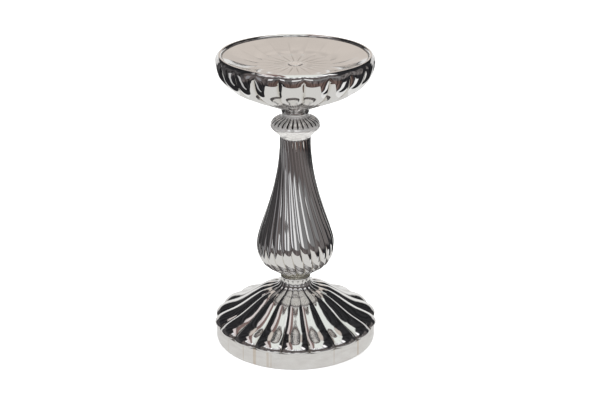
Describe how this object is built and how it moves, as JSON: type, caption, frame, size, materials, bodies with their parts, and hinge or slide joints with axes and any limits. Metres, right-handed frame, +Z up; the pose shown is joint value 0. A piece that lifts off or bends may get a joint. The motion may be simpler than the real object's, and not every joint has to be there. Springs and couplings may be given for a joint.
{
  "type": "pillar candlestick",
  "caption": "Tall silver pillar candlestick: lobed bowl with a shallow dish, ribbed collar, twisted fluted stem and bell-shaped lobed base on a plain rim.",
  "frame": {"origin": "centre of the felt pad's lower face, on the surface that the candlestick stands on", "axes": "+Z up along the tie rod, from the base to the candle dish; -Y is the front"},
  "size_m": [0.1394, 0.1412, 0.254],
  "materials": {
    "silver": "mirror-polished silver plate",
    "brass": "bright brass, thinly plated",
    "steel": "zinc-plated steel",
    "iron": "raw casting",
    "felt": "dark green felt"
  },
  "bodies": {
    "root": {"felt_pad": "felt", "base_plate": "steel", "base_band": "silver", "base_weight": "iron", "base_spacer": "steel", "base_shell": "silver", "lower_collar": "brass", "stem_foot_bush": "brass", "stem_shell": "silver", "stem_head_bush": "brass", "knop_collar": "silver", "bowl_seat": "silver", "bowl_shell": "silver", "bowl_spacer": "steel", "dish_washer": "steel", "dish_plate": "silver", "centre_button": "silver", "tie_rod": "steel", "tie_nut": "steel", "lock_washer": "steel", "flat_washer": "steel"}
  },
  "joints": []
}
